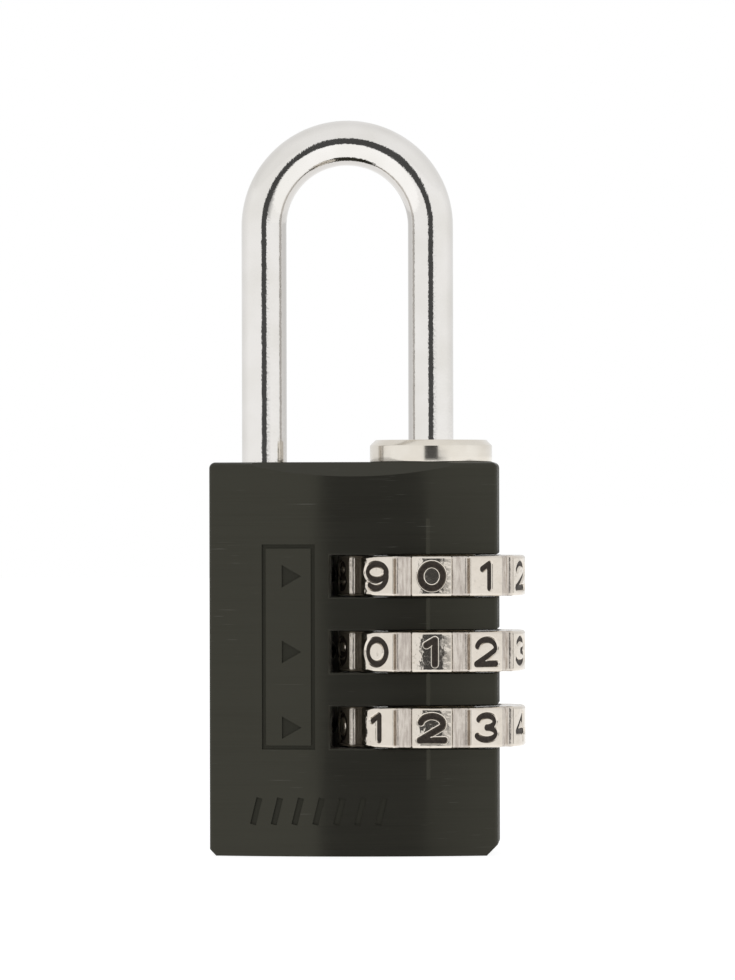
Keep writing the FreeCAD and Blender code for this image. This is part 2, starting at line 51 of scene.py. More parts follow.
DIAL_NAMES = ("top", "middle", "bottom")


def node_box(name):
    """Lowest and highest corner of a CAD node in millimetres."""
    low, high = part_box(name)
    return [float(value) / MM for value in low], [float(value) / MM for value in high]


CASE_LOW, CASE_HIGH = node_box("case")
COLLAR_LOW, COLLAR_HIGH = node_box("shackle_collar")
SHACKLE_LOW, SHACKLE_HIGH = node_box("shackle")
AXIS_X = (COLLAR_LOW[0] + COLLAR_HIGH[0]) / 2
WIRE = SHACKLE_HIGH[1] - SHACKLE_LOW[1]
SHORT_LEG_X = SHACKLE_LOW[0] + WIRE / 2
# radius of the bulge of the case's front and back
FACE_RADIUS = 33.4
# how far past the outer dials the slots' finish reaches
SLOTS_MARGIN = 0.15
SLOTS_LOW = node_box("dial_bottom")[0][2]
SLOTS_HIGH = node_box("dial_top")[1][2]
SLOTS_MIDDLE = (SLOTS_LOW + SLOTS_HIGH) / 2
SLOTS_HALF = (SLOTS_HIGH - SLOTS_LOW) / 2 + SLOTS_MARGIN


# ---------------------------------------------------------------- mesh helpers

ROUNDING_STEPS = 5


def add_mesh(name, points, faces, body, finish, replaced):
    """A smooth piece from points in millimetres, riding on a body in place of the CAD nodes named."""
    mesh = bpy.data.meshes.new(name)
    mesh.from_pydata((np.asarray(points) * MM).tolist(), [], faces)
    mesh.polygons.foreach_set("use_smooth", [True] * len(mesh.polygons))
    mesh.validate()
    piece = bpy.data.objects.new(name, mesh)
    bpy.context.scene.collection.objects.link(piece)
    mesh.materials.append(finish)
    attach(piece, body)
    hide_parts(*replaced)
    return piece


def add_point_attribute(piece, name, values):
    """A number for each point of the piece, which its finish reads by name."""
    attribute = piece.data.attributes.new(name, "FLOAT", "POINT")
    attribute.data.foreach_set("value", np.asarray(values, dtype=np.float32))


def grid_faces(rows, columns, close_rows=False):
    """Quads of a grid of points stored row by row, whose columns close on themselves."""
    faces = []
    for row in range(rows if close_rows else rows - 1):
        above = (row + 1) % rows
        for column in range(columns):
            beside = (column + 1) % columns
            low, high = row * columns, above * columns
            faces.append((low + column, low + beside, high + beside, high + column))
    return faces


def rounded_profile(corners):
    """Points of a closed (r, z) profile whose corners are (r, z, rounding), each an arc of that radius."""
    points = []
    count = len(corners)
    for n, (r, z, rounding) in enumerate(corners):
        here = np.array((r, z))
        before = np.array(corners[n - 1][:2]) - here
        after = np.array(corners[(n + 1) % count][:2]) - here
        if not rounding:
            points.append(here)
            continue
        before, after = before / np.linalg.norm(before), after / np.linalg.norm(after)
        half = math.acos(np.clip(before @ after, -1, 1)) / 2
        middle = here + (before + after) / np.linalg.norm(before + after) * rounding / math.sin(half)
        reach = rounding / math.tan(half)
        start, end = here + before * reach - middle, here + after * reach - middle
        turn = math.atan2(start[0] * end[1] - start[1] * end[0], start @ end)
        for step in range(ROUNDING_STEPS + 1):
            angle = turn * step / ROUNDING_STEPS
            cos, sin = math.cos(angle), math.sin(angle)
            turned = (cos * start[0] - sin * start[1], sin * start[0] + cos * start[1])
            points.append(middle + np.array(turned))
    return np.array(points)


def subdivided(profile, longest):
    """The closed profile with extra points wherever two neighbours are further apart than longest."""
    points = []
    for n, point in enumerate(profile):
        following = profile[(n + 1) % len(profile)]
        pieces = max(1, math.ceil(np.linalg.norm(following - point) / longest))
        points += [point + (following - point) * k / pieces for k in range(pieces)]
    return np.array(points)


def lathe(profile, centre_x, segments):
    """Points and faces of a closed (r, z) profile turned about a vertical axis at centre_x."""
    angles = np.arange(segments) * math.tau / segments
    points = [(centre_x + r * math.sin(a), -r * math.cos(a), z) for r, z in profile for a in angles]
    return points, grid_faces(len(profile), segments, close_rows=True)


# ---------------------------------------------------------------- shader helpers

# the Mix node's colour sockets share their names with its other kinds, so they go by number
MIX_FACTOR = 0
MIX_COLOURS = (6, 7)
MIX_RESULT = 2


class NodeTree:
    """Short calls for adding nodes to a tree and linking them."""

    def __init__(self, tree):
        self.tree = tree

    def feed(self, node, values):
        """Gives each socket of a node its value, which may be the output of another node."""
        for socket, value in values.items():
            if isinstance(value, bpy.types.NodeSocket):
                self.tree.links.new(value, node.inputs[socket])
            else:
                node.inputs[socket].default_value = value

    def add(self, kind, values=None, **settings):
        node = self.tree.nodes.new(f"ShaderNode{kind}")
        for name, value in settings.items():
            setattr(node, name, value)
        self.feed(node, values or {})
        return node

    def maths(self, operation, first, second=0.0):
        return self.add("Math", {0: first, 1: second}, operation=operation).outputs[0]

    def both(self, first, second):
        """The product of two values, which is a share where both are shares."""
        return self.maths("MULTIPLY", first, second)

    def ramp(self, value, low, high, to_low=0.0, to_high=1.0):
        """value mapped from low..high to to_low..to_high, clamped."""
        values = {"Value": value, "From Min": low, "From Max": high, "To Min": to_low, "To Max": to_high}
        return self.add("MapRange", values).outputs["Result"]


class Finish(NodeTree):
    """A material around one Principled shader, whose plain values hold where no node feeds it."""

    def __init__(self, name, colour, metallic, roughness):
        self.material = bpy.data.materials.new(name)
        self.material.use_nodes = True
        super().__init__(self.material.node_tree)
        self.shader = self.tree.nodes["Principled BSDF"]
        self.feed(self.shader, {"Base Color": (*colour, 1), "Metallic": metallic, "Roughness": roughness})
        self.place = self.add("TexCoord").outputs["Object"]

    def stretched(self, x, y, z):
        """Object coordinates in millimetres, scaled along each axis."""
        return self.add("Mapping", {"Vector": self.place, "Scale": (x / MM, y / MM, z / MM)}).outputs[0]

    def noise(self, scale, detail=2.0, roughness=0.5, stretch=(1, 1, 1)):
        """Noise with scale features to a millimetre along an axis that isn't stretched."""
        node = self.add("TexNoise", {"Vector": self.stretched(*stretch), "Scale": scale})
        self.feed(node, {"Detail": detail, "Roughness": roughness})
        return node.outputs["Fac"]

    def attribute(self, name):
        """A number stored on the mesh's points."""
        return self.add("Attribute", attribute_name=name).outputs["Fac"]

    def mix(self, factor, first, second):
        """A mix of two colours."""
        values = {MIX_FACTOR: factor}
        for socket, colour in zip(MIX_COLOURS, (first, second)):
            values[socket] = colour if isinstance(colour, bpy.types.NodeSocket) else (*colour, 1)
        return self.add("Mix", values, data_type="RGBA").outputs[MIX_RESULT]

    def bump(self, height, depth):
        """Bumps of height, a 0..1 value, that are depth millimetres deep."""
        values = {"Height": height, "Strength": 1.0, "Distance": depth * MM}
        return self.add("Bump", values).outputs["Normal"]

    def apply(self, **sockets):
        """Feeds the Principled shader; an underscore in a name stands for a space."""
        self.feed(self.shader, {name.replace("_", " "): value for name, value in sockets.items()})
        return self.material


# ---------------------------------------------------------------- finishes

# Where the case's finish, its painted light and its painted shade change: inwards from its sides, below its
# bulged front and back, past the slots' ends, and down from its top. Painted light inside the slots fades in
# between SLOT_WALL_FROM and SLOT_WALL_FULL deep. The floors of the engraved lines, which carry painted shade,
# lie between SUNK_FROM and SUNK_END.
SIDES_FROM, SIDES_FULL = 0.2, 0.02
SLOT_WALL_FROM, SLOT_WALL_FULL = 0.6, 1.2
SLOTS_FADE = 0.1
SUNK_FROM, SUNK_FULL = 0.05, 0.1
SUNK_LAST, SUNK_END = 0.15, 0.2
BELOW_BEVEL_FROM, BELOW_BEVEL_FULL = 1.2, 1.5
SIDES_DULLNESS = 0.55
ENGRAVED_DULLNESS = 0.4
TOOL_MARK_SHADE = 0.82


def case_depth_and_across(finish, place):
    """How deep a point lies below the bulged front or back, and its distance from the case's middle in X."""
    across = finish.maths("ABSOLUTE", finish.maths("SUBTRACT", place["X"], (CASE_LOW[0] + CASE_HIGH[0]) / 2))
    from_centre = finish.maths("ADD", finish.maths("ABSOLUTE", place["Y"]), FACE_RADIUS - CASE_HIGH[1])
    squares = [finish.maths("POWER", length, 2.0) for length in (across, from_centre)]
    reach = finish.maths("SQRT", finish.maths("ADD", *squares))
    return finish.maths("SUBTRACT", FACE_RADIUS, reach), across


def case_masks(finish):
    """Shares that are 1 on the case's blasted sides, inside its dial slots, and in the engraved lines; the
    slots' share carries painted light and the lines' share painted shade.
    """
    place = finish.add("SeparateXYZ", {"Vector": finish.stretched(1, 1, 1)}).outputs
    depth, across = case_depth_and_across(finish, place)
    half = (CASE_HIGH[0] - CASE_LOW[0]) / 2
    sides = finish.ramp(across, half - SIDES_FROM, half - SIDES_FULL)
    faces = finish.maths("SUBTRACT", 1.0, sides)
    height = finish.maths("ABSOLUTE", finish.maths("SUBTRACT", place["Z"], SLOTS_MIDDLE))
    beside_dials = finish.ramp(height, SLOTS_HALF + SLOTS_FADE, SLOTS_HALF)
    # share of painted light, deep inside the dial slots
    inside = finish.both(finish.ramp(depth, SLOT_WALL_FROM, SLOT_WALL_FULL), beside_dials)
    top = CASE_HIGH[2]
    below_bevel = finish.ramp(place["Z"], top - BELOW_BEVEL_FROM, top - BELOW_BEVEL_FULL)
    # share of the engraved lines' floors, which get painted shade in colour and more roughness
    sunk = finish.both(finish.ramp(depth, SUNK_FROM, SUNK_FULL), finish.ramp(depth, SUNK_END, SUNK_LAST))
    engraved = finish.both(sunk, below_bevel)
    return sides, finish.both(inside, faces), finish.both(engraved, faces)


def anodised_finish():
    """Black anodised aluminium: brushed along X in front, blasted on its sides,
    with painted light making the slots' inside paler and painted shade darkening the engraved lines.
    """
    finish = Finish("anodised_black", (0.0205, 0.02, 0.017), 0.0, 0.13)
    finish.feed(finish.shader, {"Specular IOR Level": 0.31, "IOR": 1.5, "Specular Tint": (1, 0.98, 0.75, 1)})
    sides, inside, engraved = case_masks(finish)
    grain = finish.noise(1.0, 3.0, 0.6, (0.15, 0.15, 16.0))
    broad = finish.noise(1.0, 2.0, 0.5, (0.1, 0.1, 1.4))
    tone = finish.mix(finish.ramp(grain, 0.35, 0.7), (0.0195, 0.0188, 0.0155), (0.0235, 0.0228, 0.0188))
    tone = finish.mix(finish.ramp(broad, 0.35, 0.65), tone, (0.0225, 0.0218, 0.018))
    scratch_line = finish.noise(1.0, 1.0, 0.4, (0.35, 0.35, 13.0))
    scratch_patch = finish.ramp(finish.noise(0.3, 2.0), 0.52, 0.64)
    scratches = finish.both(finish.ramp(scratch_line, 0.70, 0.76), scratch_patch)
    colour = finish.mix(scratches, tone, (0.06, 0.059, 0.053))
    # painted light: the slots' inside is made paler than the black case
    colour = finish.mix(inside, colour, (0.26, 0.245, 0.21))
    # painted shade: the engraved lines' floors are made darker
    colour = finish.mix(engraved, colour, (0.009, 0.0088, 0.0075))
    polish = finish.ramp(grain, 0.3, 0.7, 0.1, 0.17)
    dull_sides, dull_lines = finish.both(sides, SIDES_DULLNESS), finish.both(engraved, ENGRAVED_DULLNESS)
    roughness = finish.maths("ADD", polish, finish.maths("ADD", dull_sides, dull_lines))
    return finish.apply(Base_Color=colour, Roughness=roughness, Normal=finish.bump(grain, 0.0006))


def shackle_finish():
    """Bright plated steel with the faint orange peel of a drawn wire, and painted shade on the inside of the
    bow.
    """
    finish = Finish("bright_plate", (0.79, 0.77, 0.74), 1.0, 0.07)
    peel = finish.noise(6.0, 2.0, 0.5, (1.0, 1.0, 0.8))
    cloud = finish.ramp(finish.noise(0.35), 0.35, 0.65)
    tone = finish.mix(cloud, (0.765, 0.745, 0.71), (0.82, 0.80, 0.775))
    # painted shade: the inside of the bow is made darker
    tone = finish.mix(finish.attribute("inside"), tone, (0.62, 0.60, 0.575))
    roughness = finish.ramp(finish.noise(1.4), 0.35, 0.7, 0.06, 0.1)
    return finish.apply(Base_Color=tone, Roughness=roughness, Normal=finish.bump(peel, 0.0055))


def collar_finish():
    """Turned and nickel-plated, with fine rings."""
    finish = Finish("turned_nickel", (0.78, 0.735, 0.665), 1.0, 0.14)
    rings = finish.noise(1.0, 2.0, 0.5, (0.3, 0.3, 9.0))
    tone = finish.mix(finish.ramp(finish.noise(0.6), 0.3, 0.7), (0.75, 0.70, 0.62), (0.81, 0.77, 0.70))
    return finish.apply(Base_Color=tone, Normal=finish.bump(rings, 0.0007))


def dial_finish():
    """Nickel over a die casting: attributes of the mesh mark the black-filled numbers and the grooves, which
    get painted shade.
    """
    finish = Finish("dial_nickel", (0.716, 0.658, 0.578), 1.0, 0.12)
    finish.feed(finish.shader, {"Specular IOR Level": 0.2})
    painted = finish.ramp(finish.attribute("paint"), 0.35, 0.65)
    groove = finish.attribute("groove")
    plating = finish.ramp(finish.noise(0.9, 3.0), 0.3, 0.7)
    nickel = finish.mix(plating, (0.69, 0.63, 0.55), (0.745, 0.69, 0.615))
    # painted shade: the grooves get a darker colour, streaked along the height
    streaks = finish.ramp(finish.noise(1.0, 2.0, 0.5, (5.0, 5.0, 0.9)), 0.35, 0.65)
    groove_shade = finish.mix(streaks, (0.47, 0.42, 0.375), (0.66, 0.605, 0.545))
    nickel = finish.mix(groove, nickel, groove_shade)
    pits = finish.ramp(finish.noise(3.0, 2.0, 0.5), 0.66, 0.76)
    nickel = finish.mix(finish.both(pits, 0.3), nickel, (0.32, 0.285, 0.24))
    grit = finish.ramp(finish.noise(6.0, 3.0), 0.35, 0.7)
    fill = finish.mix(grit, (0.020, 0.015, 0.011), (0.040, 0.030, 0.023))
    colour = finish.mix(painted, nickel, fill)
    metallic = finish.maths("SUBTRACT", 1.0, painted)
    polish = finish.ramp(groove, 0.0, 1.0, 0.1, 0.24)
    roughness = finish.maths("MAXIMUM", polish, finish.both(painted, 0.5))
    normal = finish.bump(finish.noise(2.2, 2.0, 0.4), 0.03)
    return finish.apply(Base_Color=colour, Metallic=metallic, Roughness=roughness, Normal=normal)


def hidden_metal_finish(name, colour, roughness):
    """Plain turned or drawn metal of the pieces inside, with fine tool marks."""
    finish = Finish(name, colour, 1.0, roughness)
    marks = finish.noise(1.0, 2.0, 0.5, (1.0, 1.0, 12.0))
    darker = tuple(TOOL_MARK_SHADE * c for c in colour)
    tone = finish.mix(finish.ramp(finish.noise(1.1), 0.3, 0.7), darker, colour)
    return finish.apply(Base_Color=tone, Normal=finish.bump(marks, 0.001))


def make_finishes():
    return {
        "case": anodised_finish(),
        "shackle": shackle_finish(),
        "collar": collar_finish(),
        "dial": dial_finish(),
        "brass": hidden_metal_finish("turned_brass", (0.30, 0.24, 0.15), 0.3),
        "steel": hidden_metal_finish("ground_steel", (0.56, 0.56, 0.57), 0.22),
        "ball": hidden_metal_finish("ball_steel", (0.66, 0.66, 0.66), 0.08),
        "spring": hidden_metal_finish("spring_wire", (0.42, 0.42, 0.43), 0.3),
    }


# ---------------------------------------------------------------- numbers on the dials

STROKE = 0.36
NUMBER_HEIGHT = 2.03
NUMBER_WIDTH = 1.98
ARC_STEP_DEG = 9
ARC_FEWEST = 6


def arc(centre_x, centre_y, radius_x, radius_y, start, end):
    """An elliptical stroke between two angles in degrees."""
    count = max(ARC_FEWEST, int(abs(end - start) / ARC_STEP_DEG))
    angles = np.radians(np.linspace(start, end, count + 1))
    return [(centre_x + radius_x * math.cos(a), centre_y + radius_y * math.sin(a)) for a in angles]


def number_strokes(number):
    """Centre lines of a number's strokes in a box that reaches from -1 to 1 both ways."""
    nine = [arc(0.0, 0.34, 1.0, 0.66, 0, 360), arc(-0.08, 0.0, 1.08, 1.0, 20, -132)]
    strokes = {
        0: [arc(0, 0, 0.98, 1.0, 0, 360)],
        1: [[(-0.48, 0.58), (0.26, 1.0), (0.26, -1.0)]],
        2: [arc(-0.02, 0.34, 0.98, 0.66, 168, -22) + [(-1.08, -1.0), (1.08, -1.0)]],
        3: [arc(-0.06, 0.50, 0.88, 0.50, 158, -90), arc(-0.06, -0.50, 1.04, 0.50, 90, -160)],
        4: [[(0.38, -1.0), (0.38, 1.0), (-1.06, -0.42), (1.06, -0.42)]],
        5: [[(0.72, 1.0), (-0.62, 1.0), (-0.76, 0.06)] + arc(-0.06, -0.36, 0.88, 0.64, 142, -150)],
        6: [[(-x, -y) for x, y in line] for line in nine],
        7: [[(-0.90, 1.0), (0.90, 1.0), (-0.24, -1.0)]],
        8: [arc(0, 0.50, 0.74, 0.50, 0, 360), arc(0, -0.50, 0.90, 0.50, 0, 360)],
        9: nine,
    }
    return strokes[number]


def distance_to_strokes(number, across, up):
    """Distance in millimetres of each point to the nearest stroke centre line of the number."""
    half_width = (NUMBER_WIDTH - STROKE) / 2
    half_height = (NUMBER_HEIGHT - STROKE) / 2
    nearest = np.full(across.shape, np.inf)
    for line in number_strokes(number):
        points = np.array(line) * (half_width, half_height)
        for start, end in zip(points[:-1], points[1:]):
            along = end - start
            share = ((across - start[0]) * along[0] + (up - start[1]) * along[1]) / (along @ along)
            share = np.clip(share, 0, 1)
            away = np.hypot(across - start[0] - share * along[0], up - start[1] - share * along[1])
            nearest = np.minimum(nearest, away)
    return nearest


# ---------------------------------------------------------------- dials

FACES = 10
FACE_STEP = math.tau / FACES
FACE_HALF = math.radians(12.1)
DIAL_TURN = math.radians(2.1)
GROOVE_DEPTH = 0.42
GROOVE_WALL = math.radians(1.2)
GROOVE_FLOOR_RADIUS = 3.0
FACE_FLATNESS = 0.005
EDGE_ROUND = 0.2
EDGE_STEPS = 6
# the engraving's depth at its walls, how much deeper its middle is, and where its walls begin and end
PAINT_DEPTH = 0.14
MIDDLE_DEPTH = 0.03
WALL_INSIDE = 0.02
WALL_OUTSIDE = 0.08
# the edge of the black filling, measured from the engraving's edge
PAINT_INSIDE = 0.015
PAINT_OUTSIDE = 0.02
FACE_COLUMNS = 80
GROOVE_COLUMNS = 18
NUMBER_ROWS = 76
BORE = 3.15
BORE_NOTCH = 0.42


def smooth(value, low, high):
    """A share that rises softly from 0 at low to 1 at high."""
    share = np.clip((value - low) / (high - low), 0, 1)
    return share * share * (3 - 2 * share)


def from_face_middle(angles):
    """Each angle measured from the middle of its nearest face."""
    return (angles + FACE_STEP / 2) % FACE_STEP - FACE_STEP / 2


def dial_angles():
    """Column angles around a dial, evenly over a face and closest together at a groove's walls."""
    face = np.linspace(-FACE_HALF, FACE_HALF, FACE_COLUMNS, endpoint=False)
    share = (1 - np.cos(np.linspace(0, math.pi, GROOVE_COLUMNS, endpoint=False))) / 2
    groove = FACE_HALF + (FACE_STEP - 2 * FACE_HALF) * share
    one = np.concatenate((face, groove))
    return np.concatenate([one + k * FACE_STEP for k in range(FACES)])


def dial_outline(angles, radius):
    """Radius at each angle, with slightly flattened faces and hollow grooves, and how much is groove."""
    from_face = from_face_middle(angles)
    wall = smooth(np.abs(from_face) - FACE_HALF, -GROOVE_WALL / 4, GROOVE_WALL)
    from_middle = (FACE_STEP / 2 - np.abs(from_face)) * radius
    from_middle = np.minimum(from_middle, GROOVE_FLOOR_RADIUS)
    rise = GROOVE_FLOOR_RADIUS - np.sqrt(GROOVE_FLOOR_RADIUS**2 - from_middle**2)
    crown = FACE_FLATNESS * (1 - np.clip(np.abs(from_face) / FACE_HALF, 0, 1) ** 2)
    return radius - crown - wall * (GROOVE_DEPTH - rise), wall


def bore_outline(angles):
    """Radius of the bore, with a round notch behind each groove."""
    from_notch = angles % FACE_STEP - FACE_STEP / 2
    aside = BORE * np.sin(from_notch)
    reach = np.sqrt(np.clip(BORE_NOTCH**2 - aside**2, 0, None))
    return np.where(np.abs(aside) < BORE_NOTCH, np.maximum(BORE, BORE * np.cos(from_notch) + reach), BORE)


def number_relief(angles, heights, radius, first_number):
    """Depth of the engraving and share of paint at each (height, angle) of a dial's outside."""
    from_face = from_face_middle(angles)
    face_index = np.round((angles - from_face) / FACE_STEP).astype(int) % FACES
    across, up = np.meshgrid(from_face * radius, heights)
    away = np.full(across.shape, np.inf)
    for face in range(FACES):
        here = face_index == face
        away[:, here] = distance_to_strokes((first_number + face) % FACES, across[:, here], up[:, here])
    half = STROKE / 2
    walls = 1 - smooth(away, half - WALL_INSIDE, half + WALL_OUTSIDE)
    depth = PAINT_DEPTH * walls + MIDDLE_DEPTH * (1 - smooth(away, 0, half))
    paint = 1 - smooth(away, half - PAINT_INSIDE, half + PAINT_OUTSIDE)
    return depth, paint


def dial_rings(outline, bore, depth, heights, half):
    """The dial's closed section, going down from the bore's top: (radius at each angle, height) pairs."""
    bend = np.linspace(0, math.pi / 2, EDGE_STEPS + 1)
    rings = [(bore, half)]
    for turn in bend[:-1]:
        rings.append((outline - EDGE_ROUND * (1 - math.sin(turn)), half - EDGE_ROUND * (1 - math.cos(turn))))
    for height, row in zip(heights, depth):
        rings.append((outline - row, height))
    for turn in bend[1:]:
        rings.append((outline - EDGE_ROUND * (1 - math.cos(turn)), EDGE_ROUND * (1 - math.sin(turn)) - half))
    rings.append((bore, -half))
    return rings


def make_dial(name, first_number, finish):
    """A number wheel with engraved, black-filled numbers on its ten faces."""
    low, high = node_box(f"dial_{name}")
    radius = high[1]
    middle, half = (low[2] + high[2]) / 2, (high[2] - low[2]) / 2
    angles = dial_angles()
    outline, groove = dial_outline(angles, radius)
    heights = np.linspace(half - EDGE_ROUND, EDGE_ROUND - half, NUMBER_ROWS)
    depth, paint = number_relief(angles, heights, radius, first_number)
    rings = dial_rings(outline, bore_outline(angles), depth, heights, half)
    around = angles + DIAL_TURN
    points = []
    for reach, height in rings:
        level = np.full(len(angles), middle + height)
        points.append(np.stack((AXIS_X + reach * np.sin(around), -reach * np.cos(around), level), axis=1))
    points = np.concatenate(points)
    faces = grid_faces(len(rings), len(angles), close_rows=True)
    body, replaced = f"{name}_dial", [f"dial_{name}"]
    piece = add_mesh(f"number_wheel_{name}", points, faces, body, finish, replaced)
    bare = np.zeros((1 + EDGE_STEPS, len(angles)))
    add_point_attribute(piece, "paint", np.concatenate((bare, paint, bare)).ravel())
    add_point_attribute(piece, "groove", np.tile(groove, len(rings)))


# ---------------------------------------------------------------- shackle and collar

TIP_ROUND = 0.45
TIP_STEPS = 5
TIP_POINT = 0.02
SHORT_LEG_GRIP = 4.6
WIRE_SEGMENTS = 64
ARCH_SEGMENTS = 120
LEG_SEGMENTS = 40
# how far a point faces the bow's inside where the painted shade begins, and where it is full
INSIDE_FROM = 0.66
INSIDE_FULL = 0.84
COLLAR_SHANK = 3.54
COLLAR_BORE = 1.635
COLLAR_CAVITY = 2.5
COLLAR_CEILING = 25.45
FLANGE_BEVEL = 0.4
FLANGE_ROUND = 0.09
FLANGE_FOOT_ROUND = 0.07
BORE_ROUND = 0.08
SHANK_ROUND = 0.1
CAVITY_ROUND = 0.03
COLLAR_SEGMENTS = 160
COLLAR_LONGEST = 0.35


def shackle_stations():
    """Places along the wire as (middle, direction away from the bow's inside, radius), foot to foot."""
    long_foot, short_foot = SHACKLE_LOW[2], CASE_HIGH[2] - SHORT_LEG_GRIP
    bend_radius = (AXIS_X - SHORT_LEG_X) / 2
    arch_z = SHACKLE_HIGH[2] - WIRE / 2 - bend_radius
    arch_middle = Vector(((AXIS_X + SHORT_LEG_X) / 2, 0, arch_z))
    sideways, upwards = Vector((1, 0, 0)), Vector((0, 0, 1))
    turns = [n * math.pi / 2 / TIP_STEPS for n in range(TIP_STEPS + 1)]
    tip = [(TIP_ROUND * (1 - math.cos(t)), WIRE / 2 - TIP_ROUND * (1 - math.sin(t))) for t in turns]
    stations = [(Vector((AXIS_X, 0, long_foot)), sideways, TIP_POINT)]
    for rise, radius in tip:
        stations.append((Vector((AXIS_X, 0, long_foot + rise)), sideways, radius))
    for z in np.linspace(long_foot + TIP_ROUND, arch_z, LEG_SEGMENTS)[1:-1].tolist():
        stations.append((Vector((AXIS_X, 0, z)), sideways, WIRE / 2))
    for angle in np.linspace(0, math.pi, ARCH_SEGMENTS + 1).tolist():
        outwards = math.cos(angle) * sideways + math.sin(angle) * upwards
        stations.append((arch_middle + bend_radius * outwards, outwards, WIRE / 2))
    for z in np.linspace(arch_z, short_foot + TIP_ROUND, LEG_SEGMENTS)[1:-1].tolist():
        stations.append((Vector((SHORT_LEG_X, 0, z)), -sideways, WIRE / 2))
    for rise, radius in reversed(tip):
        stations.append((Vector((SHORT_LEG_X, 0, short_foot + rise)), -sideways, radius))
    stations.append((Vector((SHORT_LEG_X, 0, short_foot)), -sideways, TIP_POINT))
    return stations


def make_shackle(finish):
    """One bent wire: long leg, half-circle arch and short leg, with rounded ends."""
    stations = shackle_stations()
    depthwise = Vector((0, 1, 0))
    angles = [n * math.tau / WIRE_SEGMENTS for n in range(WIRE_SEGMENTS)]
    points = []
    for place, outwards, radius in stations:
        for angle in angles:
            points.append(tuple(place + radius * (math.cos(angle) * outwards + math.sin(angle) * depthwise)))
    faces = grid_faces(len(stations), WIRE_SEGMENTS)
    last = (len(stations) - 1) * WIRE_SEGMENTS
    faces.append(tuple(reversed(range(WIRE_SEGMENTS))))
    faces.append(tuple(range(last, last + WIRE_SEGMENTS)))
    piece = add_mesh("shackle_wire", points, faces, "shackle_bow", finish, ["shackle"])
    # share of painted shade, by how far a point faces the bow's inside
    inside = smooth(-np.cos(angles), INSIDE_FROM, INSIDE_FULL)
    add_point_attribute(piece, "inside", np.tile(inside, len(stations)))


def make_collar(finish):
    """The flanged bush around the long leg."""
    flange, top, foot, seat = COLLAR_HIGH[0] - AXIS_X, COLLAR_HIGH[2], COLLAR_LOW[2], CASE_HIGH[2]
    corners = [
        (COLLAR_BORE, COLLAR_CEILING, 0),
        (COLLAR_CAVITY, COLLAR_CEILING, 0),
        (COLLAR_CAVITY, foot, CAVITY_ROUND),
        (COLLAR_SHANK, foot, SHANK_ROUND),
        (COLLAR_SHANK, seat, 0),
        (flange, seat, FLANGE_FOOT_ROUND),
        (flange, top - FLANGE_BEVEL, FLANGE_ROUND),
        (flange - FLANGE_BEVEL, top, FLANGE_ROUND),
        (COLLAR_BORE, top, BORE_ROUND),
    ]
    profile = subdivided(rounded_profile(corners), COLLAR_LONGEST)
    points, faces = lathe(profile, AXIS_X, COLLAR_SEGMENTS)
    add_mesh("collar_turned", points, faces, "lock_body", finish, ["shackle_collar"])


def dress_cad_nodes(finishes):
    """Gives the CAD pieces that stay visible their finishes."""
    kinds = {
        "case": "case",
        "code_sleeve": "brass",
        "cross_pin": "steel",
        "spring_washer": "steel",
        "detent_ball": "ball",
        "detent_spring": "spring",
        "sleeve_spring": "spring",
    }
    for name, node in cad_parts.items():
        for start, finish in kinds.items():
            if name.startswith(start):
                node.data.materials.clear()
                node.data.materials.append(finishes[finish])


# ---------------------------------------------------------------- studio

CAMERA_DISTANCE = 480.0
CAMERA_AZIMUTH = math.radians(2.3)
CAMERA_ASIDE = -0.09
CAMERA_HEIGHT = 25.36
CAMERA_ROLL = math.radians(0.12)
PIXELS_PER_MM = 14.46
IMAGE_HEIGHT = 980
SENSOR = 36.0
CLIP_START = 10.0
CLIP_END = 20000.0
FLOOR_REACH = 1500.0
FLOOR_DROP = 0.05
# The studio's levels. A ramp is from, to, and the levels at both; any other pair is where a region begins and
# where it is full. The first two ramps go by how far a direction points to the camera's side, from -1 to 1.
# All else is in degrees, with the azimuth counted from the camera's own.
SURROUND_RAMP = (-0.7, 0.1, 0.86, 1.0)
OVERHEAD_RAMP = (-0.4, 0.3, 0.86, 0.95)
OVERHEAD_START = (22.0, 25.0)
RIGHT_SHADE_RAMP = (12.0, 36.0, 0.36, 1.05)
RIGHT_SHADE_START = (11.0, 12.0)
HORIZON = (0.3, -0.3)
GROUND_LEVEL = 1.15
GROUND_START = (-7.0, -10.0)
GAP_LEVEL = 0.07
GAP_LEFT = (-13.0, -12.0)
GAP_RIGHT = (13.6, 12.2)
GAP_FOOT = (-8.0, -6.5)
GAP_TOP = (24.0, 22.0)


def make_camera():
    """Level with the middle of the lock and a little to the right of its front."""
    data = bpy.data.cameras.new("camera")
    data.sensor_width = SENSOR
    front_distance = CAMERA_DISTANCE + CASE_LOW[1]
    data.lens = PIXELS_PER_MM * front_distance / IMAGE_HEIGHT * SENSOR
    data.clip_start = CLIP_START * MM
    data.clip_end = CLIP_END * MM
    camera = bpy.data.objects.new("camera", data)
    bpy.context.scene.collection.objects.link(camera)
    backwards = Vector((math.sin(CAMERA_AZIMUTH), -math.cos(CAMERA_AZIMUTH), 0))
    aside = Vector((math.cos(CAMERA_AZIMUTH), math.sin(CAMERA_AZIMUTH), 0))
    place = CAMERA_DISTANCE * backwards + CAMERA_ASIDE * aside + Vector((0, 0, CAMERA_HEIGHT))
    camera.location = place * MM
    camera.rotation_euler = (math.pi / 2, CAMERA_ROLL, CAMERA_AZIMUTH)
    bpy.context.scene.camera = camera


class World(NodeTree):
    """The studio's node tree."""

    def __init__(self):
        world = bpy.data.worlds.new("studio")
        bpy.context.scene.world = world
        world.use_nodes = True
        super().__init__(world.node_tree)
        self.tree.nodes.clear()

    def blend(self, level, other, share):
        """level where share is 0, other where it is 1."""
        return self.maths("ADD", level, self.both(self.maths("SUBTRACT", other, level), share))


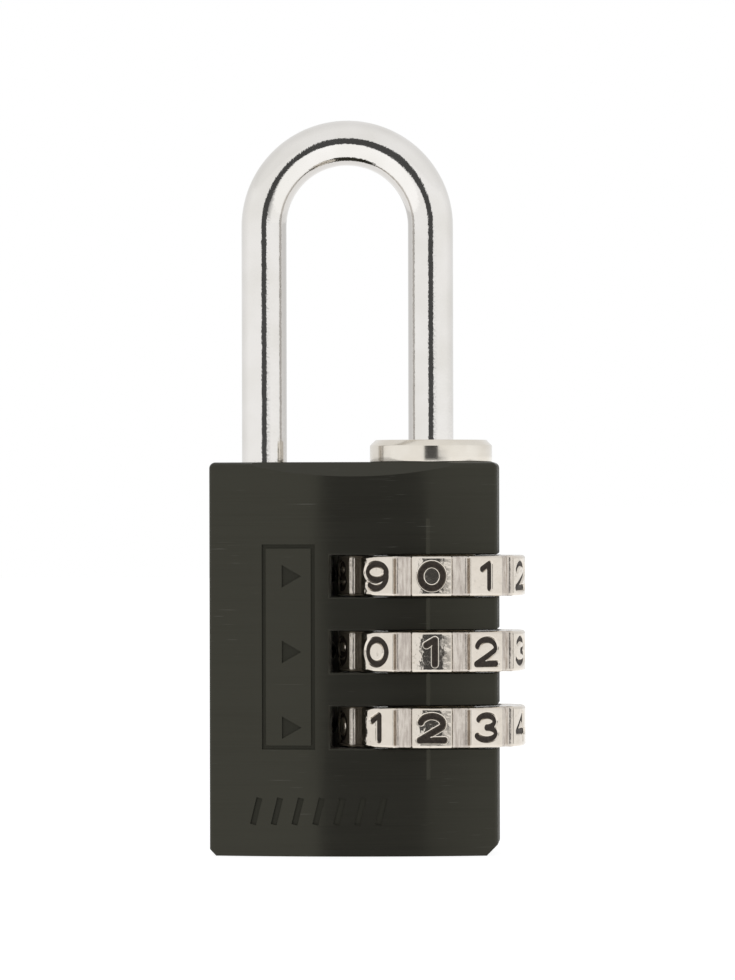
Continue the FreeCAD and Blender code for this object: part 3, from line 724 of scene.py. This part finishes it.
def studio_level(world, towards, azimuth, elevation):
    """White all round, a little duller behind and overhead, brighter below, with a shade low on the right of
    a dark gap where the camera stands.
    """
    level = world.ramp(towards, *SURROUND_RAMP)
    low_right = world.both(world.ramp(azimuth, *RIGHT_SHADE_START), world.ramp(elevation, *HORIZON))
    level = world.blend(level, world.ramp(azimuth, *RIGHT_SHADE_RAMP), low_right)
    level = world.blend(level, world.ramp(towards, *OVERHEAD_RAMP), world.ramp(elevation, *OVERHEAD_START))
    level = world.blend(level, GROUND_LEVEL, world.ramp(elevation, *GROUND_START))
    across = world.both(world.ramp(azimuth, *GAP_LEFT), world.ramp(azimuth, *GAP_RIGHT))
    upright = world.both(world.ramp(elevation, *GAP_FOOT), world.ramp(elevation, *GAP_TOP))
    return world.blend(level, GAP_LEVEL, world.both(across, upright))


def make_world():
    """A white studio that shows its levels only in the light and the reflections it gives."""
    world = World()
    direction = world.add("TexCoord").outputs["Generated"]
    x, y, z = world.add("SeparateXYZ", {0: direction}).outputs
    sin, cos = math.sin(CAMERA_AZIMUTH), math.cos(CAMERA_AZIMUTH)
    towards = world.maths("SUBTRACT", world.both(x, sin), world.both(y, cos))
    aside = world.maths("ADD", world.both(x, cos), world.both(y, sin))
    azimuth = world.both(world.maths("ARCTAN2", aside, towards), math.degrees(1))
    elevation = world.both(world.maths("ARCSINE", z), math.degrees(1))
    level = studio_level(world, towards, azimuth, elevation)
    camera_ray = world.add("LightPath").outputs["Is Camera Ray"]
    strength = world.maths("MAXIMUM", level, camera_ray)
    background = world.add("Background", {"Strength": strength, "Color": (1, 1, 1, 1)})
    world.add("OutputWorld", {0: background.outputs[0]})


def make_floor():
    """A pale floor lit so evenly that it shows no edge; the studio itself shows in the reflections."""
    mesh = bpy.data.meshes.new("studio_floor")
    reach = FLOOR_REACH * MM
    corners = [(-reach, -reach, 0), (reach, -reach, 0), (reach, reach, 0), (-reach, reach, 0)]
    mesh.from_pydata(corners, [], [(0, 1, 2, 3)])
    floor = bpy.data.objects.new("studio_floor", mesh)
    floor.location = (0, 0, -FLOOR_DROP * MM)
    floor.visible_glossy = False
    bpy.context.scene.collection.objects.link(floor)
    material = bpy.data.materials.new("pale_floor")
    material.use_nodes = True
    shader = material.node_tree.nodes["Principled BSDF"]
    shader.inputs["Base Color"].default_value = (0.15, 0.15, 0.15, 1)
    shader.inputs["Roughness"].default_value = 0.9
    shader.inputs["Emission Color"].default_value = (1, 1, 1, 1)
    shader.inputs["Emission Strength"].default_value = 0.9
    mesh.materials.append(material)


def make_scene():
    make_camera()
    make_world()
    make_floor()
    bpy.context.scene.view_settings.view_transform = "Standard"
    finishes = make_finishes()
    dress_cad_nodes(finishes)
    make_shackle(finishes["shackle"])
    make_collar(finishes["collar"])
    for number, name in enumerate(DIAL_NAMES):
        make_dial(name, number, finishes["dial"])


make_scene()
